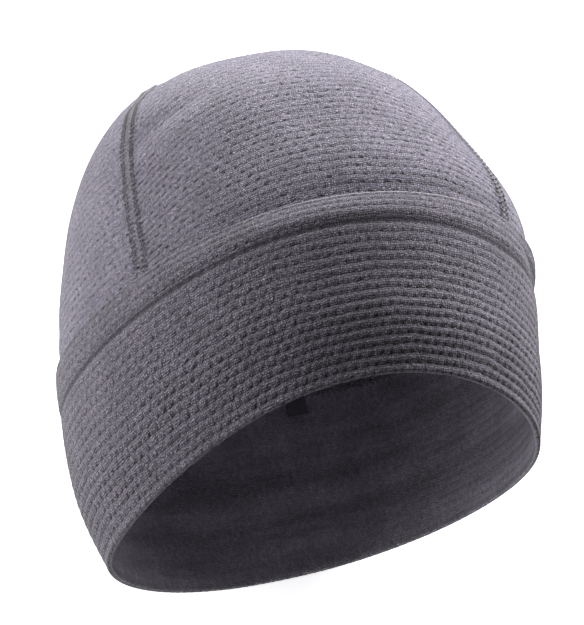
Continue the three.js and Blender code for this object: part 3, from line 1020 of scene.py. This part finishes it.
class CapSizes(bpy.types.PropertyGroup):
    """Sizes of the knit and the sewing, in millimetres"""

    band_round: FloatProperty(
        name="Band round", description="Length round the band, mm", default=555.0)
    band_cell: FloatProperty(
        name="Band cell", description="Width of one raised cell of the band's knit, mm", default=3.95)
    band_course: FloatProperty(
        name="Band course", description="Height of one raised course of the band's knit, mm", default=3.2)
    band_rib_depth: FloatProperty(
        name="Band rib depth", description="Depth of the valleys between courses, mm", default=0.65)
    band_slit_depth: FloatProperty(
        name="Band slit depth", description="Depth of the slits between cells, mm", default=0.15)
    band_lean: FloatProperty(
        name="Band lean", description="Sideways run of a slit for each millimetre up", default=0.3)
    crown_cell: FloatProperty(
        name="Crown cell", description="Distance between holes along a course of the crown, mm", default=4.1)
    crown_course: FloatProperty(
        name="Crown course", description="Distance between courses of the crown, mm", default=2.9)
    crown_rib_depth: FloatProperty(
        name="Crown rib depth", description="Depth of the valleys between its courses, mm", default=0.12)
    crown_slit_depth: FloatProperty(
        name="Crown slit depth", description="Depth of the crown's slits, mm", default=0.06)
    crown_lean: FloatProperty(
        name="Crown lean", description="Sideways run of a slit for each millimetre up", default=0.3)
    seam_width: FloatProperty(
        name="Seam width", description="Width between the two rows of a flatlock seam, mm", default=6.2)
    seam_pitch: FloatProperty(
        name="Seam pitch", description="Length of one stitch of a flatlock seam, mm", default=1.65)
    seam_ridge: FloatProperty(
        name="Seam ridge", description="How far the sewn edges stand proud, mm", default=0.3)
    inner_pitch: FloatProperty(
        name="Inner pitch", description="Distance between stitches of the inner seam, mm", default=2.6)


class CapColours(bpy.types.PropertyGroup):
    """Colours of the yarns, threads and tape"""

    crown: FloatVectorProperty(
        name="Crown", description="Yarn of the crown", default=srgb(0x787381), subtype="COLOR")
    band: FloatVectorProperty(
        name="Band", description="Yarn of the band", default=srgb(0x66616C), subtype="COLOR")
    # Painted shade, mixed into the knit's holes, slits and valleys, the rim's fold and the crease under the
    # roll
    shade: FloatVectorProperty(
        name="Shade", description="What shows in the knit's holes", default=srgb(0x1C1A1F), subtype="COLOR")
    # Painted light: the back of the yarn, made much paler to stand in for light inside the cap
    lining: FloatVectorProperty(
        name="Lining", description="Back of the cloth, inside", default=srgb(0xBAB5C1), subtype="COLOR")
    # Painted highlight along the band's top fold, where light catches its edge
    pale: FloatVectorProperty(
        name="Pale", description="Yarn stretched over the top fold", default=srgb(0xDAD7DD), subtype="COLOR")
    # Partly the thread's own dark colour, partly painted shade among the rings' loops
    seam: FloatVectorProperty(
        name="Seam thread", description="Rings of both seams", default=srgb(0x191618), subtype="COLOR")
    # Also painted light, mixed into the seams' rings where the lamps catch them
    seam_pale: FloatVectorProperty(
        name="Flat thread", description="Flat threads of seams", default=srgb(0xC0BAC3), subtype="COLOR")
    inner: FloatVectorProperty(
        name="Inner thread", description="Thread of the inner seam", default=srgb(0xD5D1D9), subtype="COLOR")
    tape: FloatVectorProperty(
        name="Tape", description="Tape of the plain tab", default=srgb(0x5E5A61), subtype="COLOR")


class CapStage(bpy.types.PropertyGroup):
    """The floor, the lights and the camera"""

    floor: FloatVectorProperty(
        name="Floor", description="Colour of the pale floor", default=srgb(0xF4F4F5), subtype="COLOR")
    glow: FloatProperty(
        name="Floor glow", description="Strength of the light that comes through the floor", default=0.88)
    top_light: FloatProperty(
        name="Top light", description="Low softbox beyond the crown", default=2.2, unit="POWER")
    right_light: FloatProperty(
        name="Right light", description="Low softbox at the upper right", default=35.0, unit="POWER")
    left_light: FloatProperty(
        name="Left light", description="Low softbox at the left", default=12.0, unit="POWER")
    front_light: FloatProperty(
        name="Front light", description="Weak softbox by the camera", default=0.75, unit="POWER")
    high_light: FloatProperty(
        name="High light", description="Softbox high beyond the crown", default=3.6, unit="POWER")
    distance: FloatProperty(
        name="Camera distance", description="From the lens to the rim's middle", default=1.15, unit="LENGTH")


# Operators

class CAP_OT_band(bpy.types.Operator):
    """Adds the folded knit band with its roll, groove and rim"""

    bl_idname = "cap.band"
    bl_label = "Band"

    def execute(self, context):
        sizes = context.scene.cap_sizes
        colours = context.scene.cap_colours
        knit = {
            "cell": sizes.band_cell, "course": sizes.band_course, "lean": sizes.band_lean, "slant": 0.25,
            "hole_size": (1.15, 0.42, 1), "wales": 5,
        }
        looks = {
            "rib_height": 0.5, "slit_height": 0.3, "hole_height": 0.8, "stitch_height": 0.4,
            "fibre_height": 0.9, "valley_width": 0.6, "valley_shade": 0.7, "slit_shade": 0.85,
            "hole_shade": 1.0, "stitch_tone": 0.55, "fibre_tone": 0.65,
            "plain_from": 18.0, "plain_over": 36.0, "plain_part": 0.6, "fold_highlight": 0.7, "turn_shade": 0.4,
            "crease_shade": 0.95,
        }
        material = knit_material("Merino mesh knit, band", cloth_colours(colours, "band"), knit, looks)
        add_piece("band_cloth", band_mesh(sizes), material, ["band"])
        return {"FINISHED"}


class CAP_OT_crown(bpy.types.Operator):
    """Adds the three crown panels and the flatlock seams between them"""

    bl_idname = "cap.crown"
    bl_label = "Crown"

    def execute(self, context):
        sizes = context.scene.cap_sizes
        colours = context.scene.cap_colours
        knit = {
            "cell": sizes.crown_cell, "course": sizes.crown_course, "lean": sizes.crown_lean, "slant": 0.12,
            "hole_size": (0.75, 0.45, 1), "wales": 6,
        }
        looks = {
            "rib_height": 0.25, "slit_height": 0.05, "hole_height": 0.9, "stitch_height": 0.3,
            "fibre_height": 0.7, "valley_width": 0.7, "valley_shade": 0.3, "slit_shade": 0.1,
            "hole_shade": 1.0, "stitch_tone": 0.6, "fibre_tone": 0.45,
            "plain_from": 25.0, "plain_over": 50.0, "plain_part": 0.7, "fold_highlight": 0.0, "turn_shade": 0.0,
            "crease_shade": 0.0,
        }
        material = knit_material("Merino mesh knit, crown", cloth_colours(colours, "crown"), knit, looks)
        tree, edge = crown_form()
        center, ups = center_lines(tree, edge, sizes)
        mesh, right_seam, left_seam, cut = panel_mesh("crown_center_cloth", center, ups, sizes)
        piece = add_piece("crown_center_cloth", mesh, material, ["crown_center"])
        thicken(piece, KNIT)
        for side, name in ((1, "crown_side_left"), (-1, "crown_side_right")):
            lines, ups = side_lines(side, sizes)
            mesh, _, _, cut = panel_mesh(name + "_cloth", lines, ups, sizes)
            piece = add_piece(name + "_cloth", mesh, material, [name])
            thicken(piece, KNIT)
        thread = thread_material("Spun polyester thread, dark", colours.seam, colours.seam_pale)
        hidden = SLOT_DEPTH - 2 * GAP + 0.4
        # Painted light on each seam's rings from this height up: the wearer's left seam from low down, the
        # right seam only near the top
        for line, name, painted_light_from in (
            (left_seam, "seam_left_stitches", 10), (right_seam, "seam_right_stitches", 60),
        ):
            places = stitched_line(line, tree, sizes.seam_pitch, hidden, hidden)
            mesh = threads_mesh(name, flatlock_grains(places, sizes, painted_light_from))
            add_piece(name, mesh, thread)
        return {"FINISHED"}


class CAP_OT_inner_seam(bpy.types.Operator):
    """Adds the stitches inside, where the lining's edge is sewn to the crown"""

    bl_idname = "cap.inner_seam"
    bl_label = "Inner seam"

    def execute(self, context):
        sizes = context.scene.cap_sizes
        colour = context.scene.cap_colours.inner
        thread = thread_material("Spun polyester thread, pale", colour, colour)
        mesh = threads_mesh("inner_seam_stitches", inner_seam_grains(sizes))
        add_piece("inner_seam_stitches", mesh, thread)
        return {"FINISHED"}


class CAP_OT_tab(bpy.types.Operator):
    """Adds the small plain tab that is caught in the inner seam"""

    bl_idname = "cap.tab"
    bl_label = "Tab"

    def execute(self, context):
        low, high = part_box("label")
        middle = (low + high) / 2
        size = high - low
        bm = bmesh.new()
        uv = bm.loops.layers.uv.new(FLAT_MAP)
        bmesh.ops.create_grid(bm, x_segments=24, y_segments=20, size=0.5)
        for face in bm.faces:
            face.smooth = True
            for loop in face.loops:
                loop[uv].uv = (loop.vert.co.x * size.x / MM, loop.vert.co.y * size.y / MM)
        for vert in bm.verts:
            x, y = vert.co.x, vert.co.y
            curl = 0.12 * math.cos(math.pi * x) + 0.2 * (0.5 - y) ** 2
            vert.co = (middle.x + x * size.x, middle.y + y * size.y, low.z + (0.45 + curl) * size.z)
        mesh = bpy.data.meshes.new("label_tape")
        bm.to_mesh(mesh)
        bm.free()
        material = tape_material("Satin woven tape", tuple(context.scene.cap_colours.tape))
        piece = add_piece("label_tape", mesh, material, ["label"])
        thicken(piece, 0.4)
        return {"FINISHED"}


class CAP_OT_stage(bpy.types.Operator):
    """Adds the pale floor, the soft lights and the camera"""

    bl_idname = "cap.stage"
    bl_label = "Stage"

    def execute(self, context):
        stage = context.scene.cap_stage
        bm = bmesh.new()
        bmesh.ops.create_grid(bm, x_segments=1, y_segments=1, size=6.0)
        mesh = bpy.data.meshes.new("floor")
        bm.to_mesh(mesh)
        bm.free()
        floor = bpy.data.objects.new("floor", mesh)
        context.scene.collection.objects.link(floor)
        mesh.materials.append(floor_material("White acrylic", tuple(stage.floor), stage.glow))

        ahead = np.array([math.sin(CAMERA_TURN), 0, -math.cos(CAMERA_TURN)])
        level_right = np.array([math.cos(CAMERA_TURN), 0, math.sin(CAMERA_TURN)])
        upright = np.array([0, 1, 0])
        level_up = upright * math.cos(CAMERA_RISE) - ahead * math.sin(CAMERA_RISE)
        back = -upright * math.sin(CAMERA_RISE) - ahead * math.cos(CAMERA_RISE)
        right = level_right * math.cos(CAMERA_ROLL) - level_up * math.sin(CAMERA_ROLL)
        up = level_right * math.sin(CAMERA_ROLL) + level_up * math.cos(CAMERA_ROLL)
        aim = (CENTER - RIM_RIGHT * right - RIM_UP * up) * MM
        camera_data = bpy.data.cameras.new("camera")
        camera_data.sensor_width = SENSOR
        camera_data.lens = SENSOR * FOCAL_PIXELS / PICTURE_HEIGHT
        camera_data.clip_start = 0.05
        camera_data.clip_end = 20.0
        camera = bpy.data.objects.new("camera", camera_data)
        context.scene.collection.objects.link(camera)
        place = Matrix((right, up, back)).transposed().to_4x4()
        place.translation = Vector(aim + back * stage.distance)
        camera.matrix_world = place
        context.scene.camera = camera

        middle = (Vector(CAD_BOX[0]) + Vector(CAD_BOX[1])) / 2
        directions = {
            "top_light": up - 0.3 * back,
            "right_light": 0.65 * right + up - 0.4 * back,
            "left_light": -right + 0.08 * up + 0.4 * back,
            "front_light": 0.1 * right + 0.2 * up + back,
            "high_light": up + 0.6 * back,
        }
        for name, direction in directions.items():
            data = bpy.data.lights.new(name, "AREA")
            data.size = LAMP_SIZE
            data.energy = getattr(stage, name)
            lamp = bpy.data.objects.new(name, data)
            context.scene.collection.objects.link(lamp)
            towards = Vector(direction).normalized()
            lamp.location = middle + towards * LAMP_DISTANCE
            lamp.rotation_mode = "QUATERNION"
            lamp.rotation_quaternion = towards.to_track_quat("Z", "Y")

        world = bpy.data.worlds.new("dark studio")
        world.use_nodes = True
        world.node_tree.nodes.clear()
        light = add_node(world.node_tree, "Background", None, {"Color": (0.0, 0.0, 0.0, 1.0)})
        add_node(world.node_tree, "OutputWorld", None, (light,), None)
        context.scene.world = world
        context.scene.view_settings.view_transform = "Standard"
        return {"FINISHED"}


class CAP_PT_panel(bpy.types.Panel):
    """Lists the cap's pieces, sizes and colours"""

    bl_idname = "CAP_PT_panel"
    bl_label = "Knit skull cap"
    bl_space_type = "VIEW_3D"
    bl_region_type = "UI"
    bl_category = "Cap"

    def draw(self, context):
        for operator in OPERATORS:
            self.layout.operator(operator.bl_idname)
        for settings in (context.scene.cap_sizes, context.scene.cap_colours, context.scene.cap_stage):
            box = self.layout.box()
            for name in settings.__annotations__:
                box.prop(settings, name)


GROUPS = (CapSizes, CapColours, CapStage)
OPERATORS = (CAP_OT_band, CAP_OT_crown, CAP_OT_inner_seam, CAP_OT_tab, CAP_OT_stage)
CLASSES = (*GROUPS, *OPERATORS, CAP_PT_panel)


def register():
    """Adds the cap's classes and settings."""
    for cls in CLASSES:
        bpy.utils.register_class(cls)
    bpy.types.Scene.cap_sizes = PointerProperty(type=CapSizes)
    bpy.types.Scene.cap_colours = PointerProperty(type=CapColours)
    bpy.types.Scene.cap_stage = PointerProperty(type=CapStage)


def unregister():
    """Takes the cap's classes and settings away again."""
    del bpy.types.Scene.cap_stage
    del bpy.types.Scene.cap_colours
    del bpy.types.Scene.cap_sizes
    for cls in reversed(CLASSES):
        bpy.utils.unregister_class(cls)


def main():
    """Builds every piece and the stage."""
    register()
    bpy.ops.cap.band()
    bpy.ops.cap.crown()
    bpy.ops.cap.inner_seam()
    bpy.ops.cap.tab()
    bpy.ops.cap.stage()


if __name__ == "__main__":
    main()
